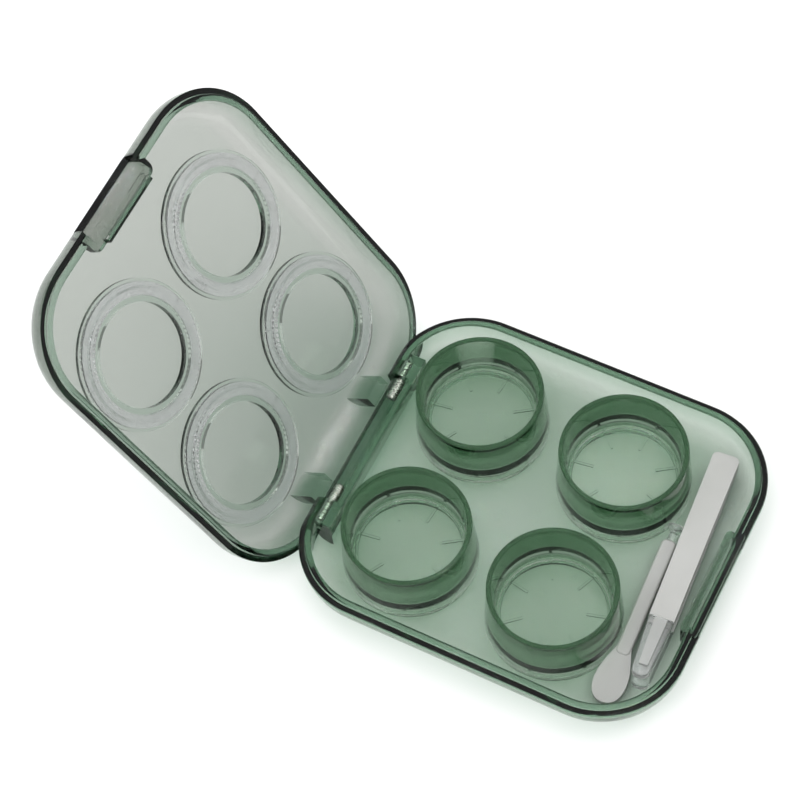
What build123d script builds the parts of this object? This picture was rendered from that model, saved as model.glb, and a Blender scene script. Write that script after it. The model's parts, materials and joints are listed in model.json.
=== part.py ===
from build123d import *
import os

# A flip-open travel case for two pairs of contact lenses. Millimetres, +Z up.
# The origin is the centre of the underside. The hinge runs along X at the rear (+Y), the latch is at -Y.
# The lid is drawn closed, on top of the base, and then swung open about the hinge to its stop.

# ---- driving dimensions ----
rim_half_x = 35.0          # half width of the lip that the two shells share
rim_half_y = 39.8          # half depth of the same lip
rim_corner = 16.3          # corner radius of the lip, seen from above
wall = 1.4                 # thickness of the lip
shell_out = 1.2            # how far the outer shell stands outside the lip
step = 0.5                 # height of the lip above the outer shell
floor_t = 1.5              # base floor
part_z = 9.6               # top of the base, the parting plane
shell_gap = 0.15           # between the two lips when the lid is shut
lid_inner_z = 17.0         # inner face of the shut lid
lid_t = 1.4                # lid panel
base_round = 8.0           # outer rounding between the base wall and its underside
lid_round = 7.5            # outer rounding between the lid wall and its top
inner_round = 3.2          # inner rounding of both shells
shell_edge_round = 0.6     # small rounding where the outer shell meets the lip
lip_root = 3.0             # how deep the lip reaches into the outer shell
overlap = 0.2              # how far pieces of one solid run into each other, so that they join
clear_of = 5.0             # how far a cutter runs past what it cuts

hinge_y = 38.0             # hinge axis
hinge_z = 6.5
lid_open = 125.5           # swing from shut to the open stop, in degrees
barrel_r = 1.8             # lid barrel round the hinge axis
barrel_half = 15.4         # half length of the lid barrel
lug_end = 20.0             # outer end of the base lugs
hinge_gap = 0.3            # side play between barrel and lugs
nose_r = 3.05              # rounding of the base's rear edge round the hinge axis
nose_half = 28.0           # half length of that rounding
nose_drop = 1.6            # how far below the axis the rounding starts
strip_t = 1.2              # wall in front of the hinge
strip_gap = 2.05           # from the hinge axis to the outer face of that wall
strip_past_lug = 1.2       # how far the wall runs on past the lugs
recess_drop = 2.15         # flat floor of the hinge recess below the axis
recess_flat = 0.7          # where that floor starts to slope, in front of the axis
recess_slope_run = 5.0     # the slope's far end, behind the axis
recess_slope_drop = 6.3    # and how far below the axis it is there
pin_r = 0.8
pin_start = 11.0           # inner end of a pin inside the barrel
pin_clear = 0.05           # radial play of the pin in the lug
pin_chamfer = 0.2
ear_start = 9.5            # inner face of the raised blocks inside the lid
ear_y = 35.7               # front face of the raised blocks
lip_edge_round = 0.25      # edges of the two lips
ear_lift = 0.6             # underside of the raised blocks above the lid's rim

cup_x = 16.4               # cup centres
cup_rear_y = 19.6
cup_front_y = -12.3
cup_rim_z = 15.0           # height of the cup rims above the table
cup_rim_r = 13.0
cup_mouth_r = 12.0
cup_foot_r = 13.85
cup_floor_z = 4.5
cup_floor_r = 11.3
cup_base_t = 1.3           # floor of a cup
cup_skirt_r = 12.4         # hollow under a cup
cup_seat = 0.05            # gap under a resting piece
rib_count = 7
rib_in_r = 6.6
rib_w = 0.5
rib_h = 0.3
cup_inner_round = 1.2
cup_rim_round = 0.3
cup_foot_h = 1.0           # height of the foot flange
locate_r = 11.9            # ring on the base floor that keeps a cup in place
locate_t = 0.9
locate_h = 1.1

ring_out_r = 15.0          # outer wall of a seal groove in the lid
ring_out_t = 0.7
ring_out_h = 0.8
ring_in_r = 11.6           # inner wall of a seal groove
ring_in_t = 1.2
ring_in_h = 1.5
seal_gap = 0.1             # between the seal and the shut cup rim
seal_chamfer = 0.3         # inner lower edge of a seal
seal_lip_w = 0.9           # outer edge of a seal, thinner than the rest
seal_lip_h = 0.7
seal_lip_slope = 0.4       # width and drop of the slopes down to the thick part
seal_lip_drop = 0.2

notch_half = 9.4           # finger notch in the lid's front wall
notch_depth = 3.0
notch_h = 6.0              # where the scoop runs out at the lid's outside
notch_flat = 1.6           # upright part of its bottom, next to the rim
notch_round = 1.6
lip_half = 7.9             # latch lip below the notch
lip_drop = 1.7
lip_t = 1.05               # thickness of the latch lip
lip_back = 0.05            # its face behind the bottom of the notch
bead_r = 0.3               # snap bead on the latch lip
bead_out = 0.15            # centre of the bead behind the bottom of the notch
bead_lift = 0.15           # and above the lower edge of the lip
bead_end = 1.0             # lip left plain at each end of the bead
latch_half = 12.2          # latch stretch of the base's front wall
latch_out = 0.8            # how far that stretch stands out
pad_half = 11.8            # springy pad inside it, with a slot behind
pad_y = -36.85             # inner face of the pad
pad_back_y = -38.15        # back of the pad, where the slot starts
pad_z = 3.6                # underside of the pad
slot_half = 10.6
slot_z = 5.0               # bottom of the slot
slot_round = 0.4
latch_round = 0.7
pad_round = 1.0
pad_root = 0.6             # how far the pad runs into the wall behind it
pad_step = 0.3             # top of the pad below the parting plane
groove_w = 1.1             # groove for the bead in the pad's face
groove_side = 0.6          # groove beyond the lip at each end
groove_depth = 0.5

arm_root_w = 5.6           # tweezer arm width at the tail
arm_w = 5.1                # and where the soft tip starts
arm_t = 1.2
arm_lift = 0.6             # lower arm above the underside of the tail
tail_len = 4.0
tail_h = 2.5
arm_len = 39.5             # to the start of the soft tip
core_len = 50.0            # to the end of the core inside the soft tip
tip_len = 52.5             # overall
core_w = 2.6
tip_w = 5.0                # soft tip where it starts
tip_end_w = 3.4
tip_t = 2.2
core_narrow = 0.4          # how much the core narrows on each side towards its end
tip_corner = 1.4
tip_round = 0.5
tail_side = 0.1            # tail narrower than the arm on each side
tail_gap = 0.03            # between the tail and the upper arm
tail_corner = 1.2
tail_relief = 0.3          # upper arm thinned over the tail
arm_spread = 4.2           # degrees between the arms at rest
tweezer_at = (28.6, -29.6, 2.75)
tweezer_turn = 4.6         # degrees from the X axis
tweezer_tilt = 1.1         # degrees that the tips hang lower than the tail

stick_at = (10.3, -26.65, 4.4)
stick_turn = 2.9
stick_tilt = 2.5
stick_cup_r = 1.7
stick_half = 1.5           # half width of the handle
stick_t = 2.0
stick_neck_at = 26.5       # where the handle widens into the paddle
stick_len = 39.9
paddle_half = 3.3
paddle_t = 1.5
neck = 3.4                 # suction cup and its neck
neck_r = 0.8
socket_len = 3.0           # how far the neck goes into the handle
socket_r = 0.6
socket_end_gap = 0.1
handle_corner = 1.0
handle_round = 0.5
paddle_root = 2.0          # how far the paddle starts inside the handle
paddle_root_half = 1.0
paddle_blend = 1.5         # where the paddle is as wide as the handle, past the neck
paddle_wide_at = 5.0       # widest place, from the far end
handle_over = 3.0          # how far the round handle runs into the paddle
bell_depth = 0.9           # hollow of the suction cup
bell_edge = 0.35           # thickness of its edge
bell_len = 1.5             # where the bell becomes the neck

os.makedirs("parts", exist_ok=True)

shell_half_x = rim_half_x + shell_out
shell_half_y = rim_half_y + shell_out
shell_corner = rim_corner + shell_out
room_half_x = rim_half_x - wall
room_half_y = rim_half_y - wall
room_corner = rim_corner - wall
lid_rim_z = part_z + shell_gap
lid_top = lid_inner_z + lid_t
notch_y = -rim_half_y + notch_depth      # bottom of the finger notch
hinge_axis = Axis((0, hinge_y, hinge_z), (-1, 0, 0))
strip_out_y = hinge_y - strip_gap
strip_in_y = strip_out_y - strip_t
cup_places = {
    "rear_right": (cup_x, cup_rear_y),
    "front_right": (cup_x, cup_front_y),
    "rear_left": (-cup_x, cup_rear_y),
    "front_left": (-cup_x, cup_front_y),
}
rib_turns = {"rear_right": -5, "front_right": -5, "rear_left": -5, "front_left": -23}


def rounded_slab(half_x, half_y, corner, low, high):
    """A slab with rounded corners between two heights, added to the part being built."""
    with BuildSketch(Plane.XY.offset(low)) as outline:
        RectangleRounded(2 * half_x, 2 * half_y, corner)
    extrude(outline.sketch, amount=high - low)


def block(x0, x1, y0, y1, z0, z1, mode=Mode.ADD):
    """A plain block between two corners."""
    with Locations(((x0 + x1) / 2, (y0 + y1) / 2, (z0 + z1) / 2)):
        Box(x1 - x0, y1 - y0, z1 - z0, mode=mode)


def bar_along_x(radius, x0, x1, y, z, mode=Mode.ADD):
    """A round bar along X."""
    with Locations(Location(((x0 + x1) / 2, y, z), (0, 90, 0))):
        Cylinder(radius, x1 - x0, mode=mode)


def side_span(side, near, far):
    """The X ends of a stretch on one side of the middle, lowest first."""
    return sorted((side * near, side * far))


# ---- base ----
with BuildPart() as base_room:
    rounded_slab(room_half_x, room_half_y, room_corner, floor_t, part_z + clear_of)
    fillet(base_room.faces().sort_by(Axis.Z)[0].edges(), inner_round)
    # the wall in front of the hinge and the lugs stay solid
    strip_half = lug_end + strip_past_lug
    block(
        -strip_half, strip_half, strip_in_y, shell_half_y + clear_of,
        0, part_z + 2 * clear_of, mode=Mode.SUBTRACT,
    )

with BuildPart() as nose_cut:
    block(
        -nose_half, nose_half, hinge_y, shell_half_y + clear_of,
        hinge_z - nose_drop, part_z + clear_of,
    )
    bar_along_x(
        nose_r, -nose_half - clear_of, nose_half + clear_of, hinge_y, hinge_z,
        mode=Mode.SUBTRACT,
    )

with BuildPart() as base_shell:
    rounded_slab(shell_half_x, shell_half_y, shell_corner, 0, part_z - step)
    fillet(base_shell.faces().sort_by(Axis.Z)[0].edges(), base_round)
    fillet(base_shell.faces().sort_by(Axis.Z)[-1].edges(), shell_edge_round)
    rounded_slab(rim_half_x, rim_half_y, rim_corner, part_z - lip_root, part_z)
    # the latch stretch of the front wall stands out a little
    with BuildSketch(Plane.XY.offset(part_z - lip_root)):
        with Locations((0, -room_half_y)):
            RectangleRounded(2 * latch_half, 2 * (wall + latch_out), latch_round)
    extrude(amount=lip_root)
    add(base_room.part, mode=Mode.SUBTRACT)
    fillet(base_shell.faces().sort_by(Axis.Z)[-1].edges(), lip_edge_round)
    # the springy latch pad, with a slot behind it and a groove for the lid's bead in its face
    with BuildSketch(Plane.XY.offset(pad_z)):
        with Locations((0, (pad_y - room_half_y - pad_root) / 2)):
            RectangleRounded(2 * pad_half, room_half_y + pad_root + pad_y, pad_round)
    extrude(amount=part_z - pad_step - pad_z)
    with BuildSketch(Plane.XY.offset(slot_z)):
        with Locations((0, (pad_back_y - rim_half_y - latch_out + wall) / 2)):
            RectangleRounded(
                2 * slot_half, rim_half_y + latch_out - wall + pad_back_y, slot_round
            )
    extrude(amount=part_z + clear_of - slot_z, mode=Mode.SUBTRACT)
    with BuildSketch(Plane.XZ.offset(-pad_y - overlap / 2)):
        with Locations((0, part_z - lip_drop + bead_r)):
            SlotOverall(2 * (lip_half + groove_side), groove_w)
    extrude(amount=groove_depth + overlap / 2, mode=Mode.SUBTRACT)
    # the recess that the lid's barrel turns in, with a floor that slopes with the open lid
    with BuildSketch(Plane.YZ.offset(-barrel_half - hinge_gap)):
        with BuildLine():
            Polyline(
                (strip_out_y, part_z + clear_of),
                (strip_out_y, hinge_z - recess_drop),
                (hinge_y - recess_flat, hinge_z - recess_drop),
                (hinge_y + recess_slope_run, hinge_z - recess_slope_drop),
                (hinge_y + recess_slope_run, part_z + clear_of),
                close=True,
            )
        make_face()
    extrude(amount=2 * (barrel_half + hinge_gap), mode=Mode.SUBTRACT)
    add(nose_cut.part, mode=Mode.SUBTRACT)
    for side in (-1, 1):
        x0, x1 = side_span(side, pin_start, lug_end + overlap)
        bar_along_x(pin_r + pin_clear, x0, x1, hinge_y, hinge_z, mode=Mode.SUBTRACT)
    for place in cup_places.values():
        with BuildSketch(Plane.XY.offset(floor_t - overlap)):
            with Locations(place):
                Circle(locate_r)
                Circle(locate_r - locate_t, mode=Mode.SUBTRACT)
        extrude(amount=locate_h + overlap)
base_shell.part.label = "base_shell"
export_step(base_shell.part, "parts/base_shell.step")

# ---- lens cups ----
for name, (x, y) in cup_places.items():
    with BuildPart() as lens_cup:
        with BuildSketch(Plane.XZ):
            with BuildLine():
                Polyline(
                    (0, cup_floor_z),
                    (0, cup_floor_z - cup_base_t),
                    (cup_skirt_r, cup_floor_z - cup_base_t),
                    (cup_skirt_r, floor_t + cup_seat),
                    (cup_foot_r, floor_t + cup_seat),
                    (cup_foot_r, floor_t + cup_foot_h),
                    (cup_rim_r, cup_rim_z),
                    (cup_mouth_r, cup_rim_z),
                    (cup_floor_r, cup_floor_z),
                    close=True,
                )
            make_face()
        revolve(axis=Axis.Z)
        circles = lens_cup.edges().filter_by(GeomType.CIRCLE)
        fillet(circles.group_by(Axis.Z)[-1], cup_rim_round)
        circles = lens_cup.edges().filter_by(GeomType.CIRCLE)
        fillet(circles.filter_by_position(Axis.Z, cup_floor_z, cup_floor_z), cup_inner_round)
        # ribs on the floor, like the marks of a clock face
        with PolarLocations(
            (rib_in_r + cup_floor_r) / 2, rib_count, start_angle=rib_turns[name]
        ):
            with Locations((0, 0, cup_floor_z + rib_h / 2 - overlap / 2)):
                Box(cup_floor_r - rib_in_r + 2 * overlap, rib_w, rib_h + overlap)
    with BuildPart() as placed_cup:
        add(lens_cup.part.moved(Location((x, y, 0))))
    placed_cup.part.label = "lens_cup_" + name
    export_step(placed_cup.part, "parts/lens_cup_" + name + ".step")

# ---- lid, drawn shut ----
# the finger notch is a scoop: deep at the rim and running out up the lid's front
notch_wedges = []
for grow in (0, wall):
    with BuildPart() as notch_wedge:
        with BuildSketch(Plane.YZ.offset(-notch_half - grow)):
            with BuildLine():
                Polyline(
                    (-shell_half_y - clear_of, lid_rim_z - overlap),
                    (notch_y + grow, lid_rim_z - overlap),
                    (notch_y + grow, lid_rim_z + notch_flat + grow / 2),
                    (-shell_half_y, lid_rim_z + notch_h + grow),
                    (-shell_half_y - clear_of, lid_rim_z + notch_h + grow),
                    close=True,
                )
            make_face()
        extrude(amount=2 * (notch_half + grow))
        ends = notch_wedge.faces().filter_by(Axis.X).edges()
        bottom = ends.filter_by_position(Axis.Y, -shell_half_y, notch_y + grow)
        fillet(bottom.filter_by_position(Axis.Z, lid_rim_z, lid_top), notch_round)
    notch_wedges.append(notch_wedge.part)
notch_air, notch_surround = notch_wedges

with BuildPart() as lid_room:
    rounded_slab(room_half_x, room_half_y, room_corner, lid_rim_z - clear_of, lid_inner_z)
    fillet(lid_room.faces().sort_by(Axis.Z)[-1].edges(), inner_round)
    # the raised blocks that carry the pins stay solid
    for side in (-1, 1):
        x0, x1 = side_span(side, ear_start, barrel_half)
        block(
            x0, x1, ear_y, room_half_y + clear_of,
            lid_rim_z + ear_lift, lid_inner_z + clear_of, mode=Mode.SUBTRACT,
        )
    # and so does the front wall round the finger notch
    add(notch_surround, mode=Mode.SUBTRACT)

with BuildPart() as lid_shut:
    rounded_slab(shell_half_x, shell_half_y, shell_corner, lid_rim_z + step, lid_top)
    fillet(lid_shut.faces().sort_by(Axis.Z)[-1].edges(), lid_round)
    rounded_slab(rim_half_x, rim_half_y, rim_corner, lid_rim_z, lid_rim_z + lip_root)
    add(lid_room.part, mode=Mode.SUBTRACT)
    fillet(lid_shut.faces().sort_by(Axis.Z)[0].edges(), lip_edge_round)
    # the rear wall runs down into the hinge barrel
    block(-barrel_half, barrel_half, room_half_y, rim_half_y, hinge_z, lid_rim_z + 1)
    bar_along_x(barrel_r, -barrel_half, barrel_half, hinge_y, hinge_z)
    for side in (-1, 1):
        x0, x1 = side_span(side, pin_start, barrel_half + overlap)
        bar_along_x(pin_r, x0, x1, hinge_y, hinge_z, mode=Mode.SUBTRACT)
    add(notch_air, mode=Mode.SUBTRACT)
    # the latch lip with its snap bead
    block(
        -lip_half, lip_half,
        notch_y + lip_back, notch_y + lip_back + lip_t,
        lid_rim_z - lip_drop, lid_rim_z + wall,
    )
    bar_along_x(
        bead_r, -lip_half + bead_end, lip_half - bead_end,
        notch_y + bead_out, part_z - lip_drop + bead_r + bead_lift,
    )
    # seal grooves, one over each cup
    for place in cup_places.values():
        for radius, thick, high in (
            (ring_out_r, ring_out_t, ring_out_h), (ring_in_r, ring_in_t, ring_in_h),
        ):
            with BuildSketch(Plane.XY.offset(lid_inner_z - high)):
                with Locations(place):
                    Circle(radius)
                    Circle(radius - thick, mode=Mode.SUBTRACT)
            extrude(amount=high + overlap)

with BuildPart() as lid_shell:
    add(lid_shut.part.rotate(hinge_axis, lid_open))
lid_shell.part.label = "lid_shell"
export_step(lid_shell.part, "parts/lid_shell.step")

# ---- silicone seals in the lid's grooves ----
seal_out_r = ring_out_r - ring_out_t
seal_in_r = ring_in_r
seal_low = cup_rim_z + seal_gap
seal_slope_r = seal_out_r - seal_lip_w
for name, (x, y) in cup_places.items():
    with BuildPart() as seal:
        with BuildSketch(Plane.XZ):
            with BuildLine():
                Polyline(
                    (seal_in_r, lid_inner_z),
                    (seal_in_r, seal_low + seal_chamfer),
                    (seal_in_r + seal_chamfer, seal_low),
                    (seal_slope_r - seal_lip_slope, seal_low),
                    (seal_slope_r, seal_low + seal_lip_h - seal_lip_drop),
                    (seal_out_r, seal_low + seal_lip_h),
                    (seal_out_r, lid_inner_z),
                    close=True,
                )
            make_face()
        revolve(axis=Axis.Z)
    with BuildPart() as placed_seal:
        add(seal.part.moved(Location((x, y, 0))).rotate(hinge_axis, lid_open))
    placed_seal.part.label = "lid_seal_" + name
    export_step(placed_seal.part, "parts/lid_seal_" + name + ".step")

# ---- hinge pins ----
for name, side in (("left", -1), ("right", 1)):
    with BuildPart() as hinge_pin:
        x0, x1 = side_span(side, pin_start, lug_end)
        bar_along_x(pin_r, x0, x1, hinge_y, hinge_z)
        chamfer(hinge_pin.edges().filter_by(GeomType.CIRCLE), pin_chamfer)
    hinge_pin.part.label = "hinge_pin_" + name
    export_step(hinge_pin.part, "parts/hinge_pin_" + name + ".step")

# ---- tweezers: local X runs from the tail to the tips, local Z is up ----
def laid_down(at, turn, tilt):
    """Where a long tool lies: its local X axis turned about Z from -X and its far end tipped down."""
    return Location(at) * Location((0, 0, 0), (0, 0, 180 + turn)) * Location((0, 0, 0), (0, tilt, 0))


tweezer_place = laid_down(tweezer_at, tweezer_turn, tweezer_tilt)
core_z = arm_t / 2

with BuildPart() as arm_blank:
    with BuildSketch():
        with BuildLine():
            Polyline(
                (0, arm_root_w / 2), (arm_len, arm_w / 2),
                (arm_len, core_w / 2), (core_len, core_w / 2 - core_narrow),
                (core_len, -core_w / 2 + core_narrow), (arm_len, -core_w / 2),
                (arm_len, -arm_w / 2), (0, -arm_root_w / 2),
                close=True,
            )
        make_face()
    extrude(amount=arm_t)
    fillet(arm_blank.edges().filter_by(Axis.Z).group_by(Axis.X)[0], tail_corner)

with BuildPart() as tip_blank:
    with BuildSketch(Plane.XY.offset(core_z - tip_t / 2)) as tip_outline:
        with BuildLine():
            Polyline(
                (arm_len, tip_w / 2), (tip_len, tip_end_w / 2), (tip_len, -tip_end_w / 2),
                (arm_len, -tip_w / 2), close=True,
            )
        make_face()
        fillet(tip_outline.vertices().group_by(Axis.X)[-1], tip_corner)
    extrude(amount=tip_t)
    flat_edges = tip_blank.faces().filter_by(Axis.Z).edges()
    fillet(flat_edges - tip_blank.faces().sort_by(Axis.X)[0].edges(), tip_round)
    add(arm_blank.part, mode=Mode.SUBTRACT)

lower_place = tweezer_place * Location((0, 0, arm_lift))
upper_place = (
    tweezer_place
    * Location((tail_len, 0, tail_h), (0, -arm_spread, 0))
    * Location((-tail_len, 0, 0))
)

with BuildPart() as tail_blank:
    tail_half = arm_root_w / 2 - tail_side
    block(0, tail_len, -tail_half, tail_half, 0, tail_h - tail_gap)
    fillet(tail_blank.edges().filter_by(Axis.Z).group_by(Axis.X)[0], tail_corner)

with BuildPart() as tweezer_arm_lower:
    add(arm_blank.part.moved(lower_place))
    add(tail_blank.part.moved(tweezer_place))
tweezer_arm_lower.part.label = "tweezer_arm_lower"
export_step(tweezer_arm_lower.part, "parts/tweezer_arm_lower.step")

with BuildPart() as upper_blank:
    add(arm_blank.part)
    block(
        -overlap, tail_len, -arm_root_w, arm_root_w,
        -overlap, tail_relief, mode=Mode.SUBTRACT,
    )

with BuildPart() as tweezer_arm_upper:
    add(upper_blank.part.moved(upper_place))
tweezer_arm_upper.part.label = "tweezer_arm_upper"
export_step(tweezer_arm_upper.part, "parts/tweezer_arm_upper.step")

with BuildPart() as tweezer_tip_lower:
    add(tip_blank.part.moved(lower_place))
tweezer_tip_lower.part.label = "tweezer_tip_lower"
export_step(tweezer_tip_lower.part, "parts/tweezer_tip_lower.step")

with BuildPart() as tweezer_tip_upper:
    add(tip_blank.part.moved(upper_place))
tweezer_tip_upper.part.label = "tweezer_tip_upper"
export_step(tweezer_tip_upper.part, "parts/tweezer_tip_upper.step")

# ---- inserter stick: local X runs from the suction cup to the paddle ----
stick_place = laid_down(stick_at, stick_turn, stick_tilt)
handle_end = stick_neck_at + handle_over
paddle_start = stick_neck_at - paddle_root
socket_end = neck + socket_len - socket_end_gap

with BuildPart() as handle_blank:
    with BuildSketch(Plane.XY.offset(-stick_t / 2)):
        with Locations(((neck + handle_end) / 2, 0)):
            RectangleRounded(handle_end - neck, 2 * stick_half, handle_corner)
    extrude(amount=stick_t)
    fillet(handle_blank.faces().filter_by(Axis.Z).edges(), handle_round)
    with BuildSketch(Plane.XY.offset(-paddle_t / 2)):
        with BuildLine():
            Spline(
                (paddle_start, paddle_root_half), (stick_neck_at + paddle_blend, stick_half),
                (stick_len - paddle_wide_at, paddle_half), (stick_len, 0),
                tangents=((1, 0), (0, -1)),
            )
            mirror(about=Plane.XZ)
            Line((paddle_start, paddle_root_half), (paddle_start, -paddle_root_half))
        make_face()
    extrude(amount=paddle_t)
    with Locations(Location((neck + socket_len / 2, 0, 0), (0, 90, 0))):
        Cylinder(socket_r, socket_len, mode=Mode.SUBTRACT)

with BuildPart() as inserter_handle:
    add(handle_blank.part.moved(stick_place))
inserter_handle.part.label = "inserter_handle"
export_step(inserter_handle.part, "parts/inserter_handle.step")

with BuildPart() as cup_blank:
    with BuildSketch(Plane.XZ):
        with BuildLine():
            Polyline(
                (bell_depth, 0), (bell_depth / 2, stick_cup_r / 2), (0, stick_cup_r),
                (bell_edge, stick_cup_r), (bell_len, neck_r), (neck, neck_r),
                (neck, socket_r), (socket_end, socket_r), (socket_end, 0), close=True,
            )
        make_face()
    revolve(axis=Axis.X)

with BuildPart() as inserter_suction_cup:
    add(cup_blank.part.moved(stick_place))
inserter_suction_cup.part.label = "inserter_suction_cup"
export_step(inserter_suction_cup.part, "parts/inserter_suction_cup.step")
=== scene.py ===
import json
import math

import bpy
from mathutils import Matrix, Vector


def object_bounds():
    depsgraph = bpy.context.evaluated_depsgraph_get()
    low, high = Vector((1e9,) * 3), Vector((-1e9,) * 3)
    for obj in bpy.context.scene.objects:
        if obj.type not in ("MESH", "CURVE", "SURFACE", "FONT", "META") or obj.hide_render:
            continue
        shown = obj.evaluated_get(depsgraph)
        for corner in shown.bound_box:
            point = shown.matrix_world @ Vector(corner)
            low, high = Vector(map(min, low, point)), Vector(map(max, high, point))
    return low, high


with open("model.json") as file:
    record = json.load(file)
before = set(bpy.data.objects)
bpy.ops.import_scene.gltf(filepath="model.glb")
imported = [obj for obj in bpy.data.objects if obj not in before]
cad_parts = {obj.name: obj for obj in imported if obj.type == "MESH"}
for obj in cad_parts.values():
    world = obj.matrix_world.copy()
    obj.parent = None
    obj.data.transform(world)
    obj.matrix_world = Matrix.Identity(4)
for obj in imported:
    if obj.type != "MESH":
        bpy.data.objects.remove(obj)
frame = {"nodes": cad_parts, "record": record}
cad_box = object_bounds()

# ---- the camera: where it looks, from which side, how high and how far, in metres and degrees ----
look_at = Vector((0.0151, 0.0384, -0.0005))
camera_azimuth = -55.2
camera_elevation = 60.9
camera_roll = -8.8
camera_distance = 0.529
camera_lens = 113.8            # mm
camera_sensor = 36             # width, mm
camera_clip = 0.01             # nothing nearer than this is drawn

# ---- light and floor ----
floor_half = 1.5
floor_gap = 0.0002             # the floor lies this far under the case, so that no faces coincide
floor_white = 0.93
floor_roughness = 0.8
room_light = 0.45
softboxes = {                  # name: (place, width, height, power in watts)
    "softbox_left": ((-0.9, 0.2, 0.9), 1.0, 1.0, 5.5),
    "softbox_right": ((0.7, -0.7, 1.1), 1.0, 1.0, 4.0),
    "softbox_top": ((0.0, 0.0, 1.4), 1.4, 1.4, 12.0),
    "softbox_rear": ((0.2, 1.1, 0.8), 1.0, 0.8, 4.5),
}

# ---- materials ----
plastic_ior = 1.49
silicone_ior = 1.41
silicone_clearness = 0.96      # share of the light that goes through, and the rest scatters
noise_low, noise_high = 0.3, 0.7       # the part of a noise that is stretched to the full range
tone_low, tone_high = 0.35, 0.65       # where a noise turns from one tone into the other
milky_scatter = 0.35           # share of the light that spreads under a milky surface
milky_depth = 0.0012           # and how far, in metres
milky_dark = (0.53, 0.535, 0.515)
milky_light = (0.57, 0.575, 0.555)
steel_dark = (0.50, 0.49, 0.47)
steel_light = (0.66, 0.64, 0.61)

# ---- ray depths, for rays that cross several clear walls ----
most_bounces = 24
most_clear_layers = 32
seal_subdivisions = 2


def new_material(name):
    """An empty node material with its Principled shader and its output."""
    material = bpy.data.materials.new(name)
    material.use_nodes = True
    nodes = material.node_tree.nodes
    nodes.clear()
    output = nodes.new("ShaderNodeOutputMaterial")
    shader = nodes.new("ShaderNodeBsdfPrincipled")
    material.node_tree.links.new(shader.outputs[0], output.inputs["Surface"])
    return material, shader, output


def noise(material, scale, detail=4.0, stretch=(1, 1, 1)):
    """A noise over the piece's own coordinates, with scale in waves per metre."""
    tree = material.node_tree
    place = tree.nodes.new("ShaderNodeTexCoord")
    mapping = tree.nodes.new("ShaderNodeMapping")
    mapping.inputs["Scale"].default_value = stretch
    texture = tree.nodes.new("ShaderNodeTexNoise")
    texture.inputs["Scale"].default_value = scale
    texture.inputs["Detail"].default_value = detail
    tree.links.new(place.outputs["Object"], mapping.inputs["Vector"])
    tree.links.new(mapping.outputs[0], texture.inputs["Vector"])
    return texture.outputs["Fac"]


def spread(material, source, low, high):
    """A noise stretched to run from low to high."""
    tree = material.node_tree
    ramp = tree.nodes.new("ShaderNodeMapRange")
    ramp.inputs["From Min"].default_value = noise_low
    ramp.inputs["From Max"].default_value = noise_high
    ramp.inputs["To Min"].default_value = low
    ramp.inputs["To Max"].default_value = high
    tree.links.new(source, ramp.inputs["Value"])
    return ramp.outputs["Result"]


def two_tones(material, source, dark, light):
    """A colour that drifts between two close tones."""
    tree = material.node_tree
    ramp = tree.nodes.new("ShaderNodeValToRGB")
    ramp.color_ramp.elements[0].position = tone_low
    ramp.color_ramp.elements[0].color = (*dark, 1)
    ramp.color_ramp.elements[1].position = tone_high
    ramp.color_ramp.elements[1].color = (*light, 1)
    tree.links.new(source, ramp.inputs["Fac"])
    return ramp.outputs["Color"]


def dimmed(colour, share):
    """A colour with every channel brought down to a share of itself."""
    return tuple(share * channel for channel in colour)


def bump(material, shader, source, height, strength):
    """Raises the surface by up to height, in metres."""
    tree = material.node_tree
    node = tree.nodes.new("ShaderNodeBump")
    node.inputs["Distance"].default_value = height
    node.inputs["Strength"].default_value = strength
    tree.links.new(source, node.inputs["Height"])
    tree.links.new(node.outputs["Normal"], shader.inputs["Normal"])


def lets_lamps_through(material, shader, output, tint):
    """A plain see-through surface stands in for shadow rays, so lamps light what is behind."""
    tree = material.node_tree
    path = tree.nodes.new("ShaderNodeLightPath")
    clear = tree.nodes.new("ShaderNodeBsdfTransparent")
    clear.inputs["Color"].default_value = (*tint, 1)
    mix = tree.nodes.new("ShaderNodeMixShader")
    tree.links.new(path.outputs["Is Shadow Ray"], mix.inputs["Fac"])
    tree.links.new(shader.outputs[0], mix.inputs[1])
    tree.links.new(clear.outputs[0], mix.inputs[2])
    tree.links.new(mix.outputs[0], output.inputs["Surface"])


def tinted_clear_plastic(name, tint, kept, density, shadow):
    """Clear moulded plastic: an even tint, and dye in its volume that darkens thick places."""
    material, shader, output = new_material(name)
    tree = material.node_tree
    drift = noise(material, scale=25, detail=2)
    tree.links.new(
        two_tones(material, drift, dark=dimmed(tint, 0.97), light=tint), shader.inputs["Base Color"]
    )
    shader.inputs["Transmission Weight"].default_value = 1.0
    shader.inputs["IOR"].default_value = plastic_ior
    # polished faces with faint handling haze, and the long soft ripple of a moulded sheet
    haze = noise(material, scale=90, detail=6)
    tree.links.new(spread(material, haze, low=0.012, high=0.05), shader.inputs["Roughness"])
    ripple = noise(material, scale=25, detail=1)
    bump(material, shader, ripple, height=0.00003, strength=0.08)
    dye = tree.nodes.new("ShaderNodeVolumeAbsorption")
    dye.inputs["Color"].default_value = (*kept, 1)
    dye.inputs["Density"].default_value = density
    tree.links.new(dye.outputs[0], output.inputs["Volume"])
    lets_lamps_through(material, shader, output, shadow)
    return material


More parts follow.
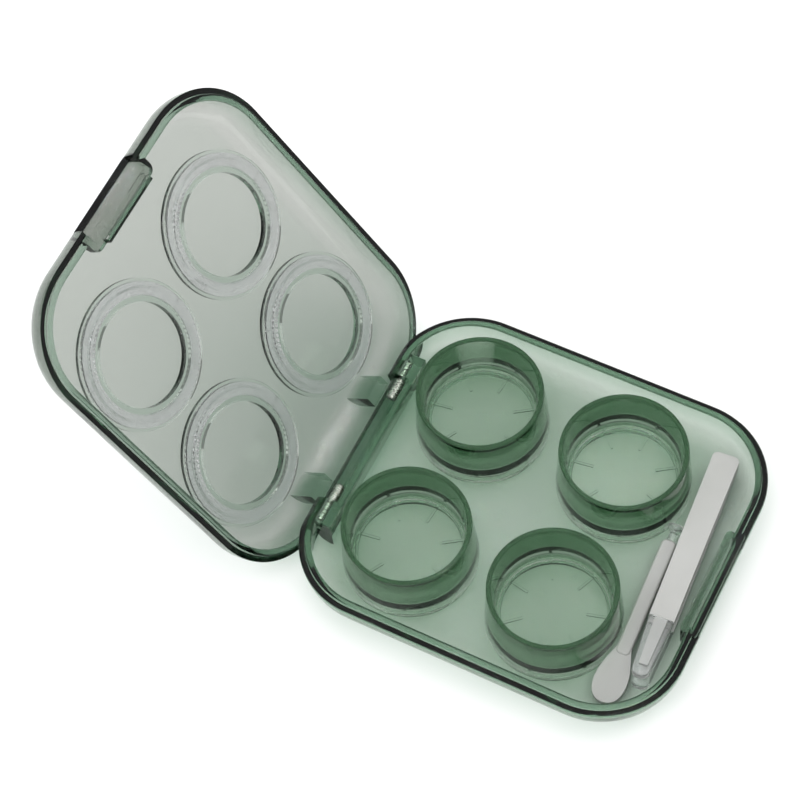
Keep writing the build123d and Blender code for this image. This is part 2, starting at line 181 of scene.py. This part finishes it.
def clear_silicone(name, tint, roughness):
    """Nearly clear soft silicone with a milky haze."""
    material, shader, output = new_material(name)
    tree = material.node_tree
    shader.inputs["Transmission Weight"].default_value = silicone_clearness
    shader.inputs["IOR"].default_value = silicone_ior
    cloud = noise(material, scale=60, detail=2)
    tree.links.new(
        two_tones(material, cloud, dark=dimmed(tint, 0.95), light=tint), shader.inputs["Base Color"]
    )
    haze = noise(material, scale=40, detail=1)
    tree.links.new(
        spread(material, haze, low=0.9 * roughness, high=1.1 * roughness),
        shader.inputs["Roughness"],
    )
    ripple = noise(material, scale=30, detail=1)
    bump(material, shader, ripple, height=0.00002, strength=0.03)
    lets_lamps_through(material, shader, output, dimmed(tint, 0.98))
    return material


def milky_plastic(name, let_through):
    """White polypropylene that lets a share of the light through."""
    material, shader, _ = new_material(name)
    tree = material.node_tree
    tone = noise(material, scale=60, detail=3)
    tree.links.new(
        two_tones(material, tone, dark=milky_dark, light=milky_light), shader.inputs["Base Color"]
    )
    shader.inputs["Subsurface Weight"].default_value = milky_scatter
    shader.inputs["Subsurface Radius"].default_value = (1.0, 1.0, 1.0)
    shader.inputs["Subsurface Scale"].default_value = milky_depth
    shader.inputs["Transmission Weight"].default_value = let_through
    shader.inputs["IOR"].default_value = plastic_ior
    haze = noise(material, scale=300)
    tree.links.new(spread(material, haze, low=0.28, high=0.42), shader.inputs["Roughness"])
    grain = noise(material, scale=1500, detail=2)
    bump(material, shader, grain, height=0.00002, strength=0.2)
    return material


def ground_steel(name):
    """Short pins with grinding marks round them."""
    material, shader, _ = new_material(name)
    tree = material.node_tree
    shader.inputs["Metallic"].default_value = 1.0
    marks = noise(material, scale=900, detail=3, stretch=(6, 1, 1))
    tree.links.new(
        two_tones(material, marks, dark=steel_dark, light=steel_light), shader.inputs["Base Color"]
    )
    tree.links.new(spread(material, marks, low=0.20, high=0.36), shader.inputs["Roughness"])
    bump(material, shader, marks, height=0.00001, strength=0.3)
    return material


def paint_nodes():
    """Every CAD node takes the material of its slot in the record, or one of its own; the lid's is
    the shell plastic with a darker tint, which is painted shade.
    """
    own_finishes = {
        "lid_shell": "lid_green_painted_shade",
        "inserter_handle": "frosted_plastic",
    }
    materials = {
        "shell_green": tinted_clear_plastic(
            "shell_green", tint=(0.735, 0.745, 0.72), kept=(0.16, 0.48, 0.27),
            density=185, shadow=(0.98, 0.99, 0.98),
        ),
        # the lid is the same plastic as the shell, with a darker tint: painted shade for the shaded
        # floor seen through it
        "lid_green_painted_shade": tinted_clear_plastic(
            "lid_green_painted_shade", tint=(0.565, 0.55, 0.54), kept=(0.14, 0.46, 0.26),
            density=165, shadow=(0.98, 0.985, 0.98),
        ),
        "cup_green": tinted_clear_plastic(
            "cup_green", tint=(0.99, 0.995, 0.98), kept=(0.16, 0.45, 0.22),
            density=150, shadow=(0.99, 0.995, 0.99),
        ),
        "seal_silicone": clear_silicone(
            "seal_silicone", tint=(0.975, 0.97, 1.0), roughness=0.18
        ),
        "pin_steel": ground_steel("pin_steel"),
        "milky_plastic": milky_plastic("milky_plastic", let_through=0.18),
        "frosted_plastic": milky_plastic("frosted_plastic", let_through=0.32),
        "soft_silicone": clear_silicone(
            "soft_silicone", tint=(0.97, 0.98, 0.98), roughness=0.20
        ),
    }
    for subpart in frame["record"]["subparts"]:
        node = frame["nodes"][subpart["node"]]
        node.data.materials.clear()
        finish = own_finishes.get(subpart["node"], subpart["material_slot"])
        node.data.materials.append(materials[finish])


def smooth_seals():
    """The seals are clear, so the facets of their mesh would show: subdivisions round them off."""
    for name, node in frame["nodes"].items():
        if name.startswith("lid_seal"):
            rounder = node.modifiers.new("rounder", "SUBSURF")
            rounder.levels = seal_subdivisions
            rounder.render_levels = seal_subdivisions


def lay_floor():
    """A plain white floor, and an even white room above it."""
    mesh = bpy.data.meshes.new("floor")
    corners = [(-1, -1), (1, -1), (1, 1), (-1, 1)]
    points = [(x * floor_half, y * floor_half, -floor_gap) for x, y in corners]
    mesh.from_pydata(points, [], [(0, 1, 2, 3)])
    floor = bpy.data.objects.new("floor", mesh)
    bpy.context.scene.collection.objects.link(floor)
    material, shader, _ = new_material("white_floor")
    shader.inputs["Base Color"].default_value = (floor_white, floor_white, floor_white, 1)
    shader.inputs["Roughness"].default_value = floor_roughness
    mesh.materials.append(material)
    world = bpy.data.worlds.new("white_room")
    world.use_nodes = True
    room = world.node_tree.nodes["Background"]
    room.inputs["Color"].default_value = (1, 1, 1, 1)
    room.inputs["Strength"].default_value = room_light
    bpy.context.scene.world = world


def hang_softboxes():
    """Large soft lamps, aimed at the middle of the case."""
    middle = (cad_box[0] + cad_box[1]) / 2
    for name, (place, width, height, power) in softboxes.items():
        lamp = bpy.data.lights.new(name, "AREA")
        lamp.shape = "RECTANGLE"
        lamp.size = width
        lamp.size_y = height
        lamp.energy = power
        # bounced rays can't see a lamp through clear plastic, so no light is shared with them
        lamp.cycles.use_multiple_importance_sampling = False
        lamp_object = bpy.data.objects.new(name, lamp)
        lamp_object.location = place
        aim = middle - Vector(place)
        lamp_object.rotation_euler = aim.to_track_quat("-Z", "Y").to_euler()
        bpy.context.scene.collection.objects.link(lamp_object)


def place_camera():
    """The camera, turned about the point that it looks at."""
    azimuth, elevation, roll = (
        math.radians(angle) for angle in (camera_azimuth, camera_elevation, camera_roll)
    )
    forward = Vector((
        -math.sin(azimuth) * math.cos(elevation),
        math.cos(azimuth) * math.cos(elevation),
        -math.sin(elevation),
    ))
    level = Vector((math.cos(azimuth), math.sin(azimuth), 0))
    upright = level.cross(forward)
    right = math.cos(roll) * level + math.sin(roll) * upright
    up = math.cos(roll) * upright - math.sin(roll) * level
    data = bpy.data.cameras.new("camera")
    data.lens = camera_lens
    data.sensor_width = camera_sensor
    data.clip_start = camera_clip
    camera = bpy.data.objects.new("camera", data)
    bpy.context.scene.collection.objects.link(camera)
    turn = Matrix((right, up, -forward)).transposed().to_4x4()
    camera.matrix_world = Matrix.Translation(look_at - camera_distance * forward) @ turn
    bpy.context.scene.camera = camera


paint_nodes()
smooth_seals()
lay_floor()
hang_softboxes()
place_camera()

scene = bpy.context.scene
scene.view_settings.view_transform = "Standard"
scene.cycles.max_bounces = most_bounces
scene.cycles.transmission_bounces = most_bounces
scene.cycles.transparent_max_bounces = most_clear_layers
# the see-through stand-in already lights what is behind the plastic, so refracted light isn't
# added to it
scene.cycles.caustics_refractive = False
scene.cycles.caustics_reflective = False

bpy.context.view_layer.update()
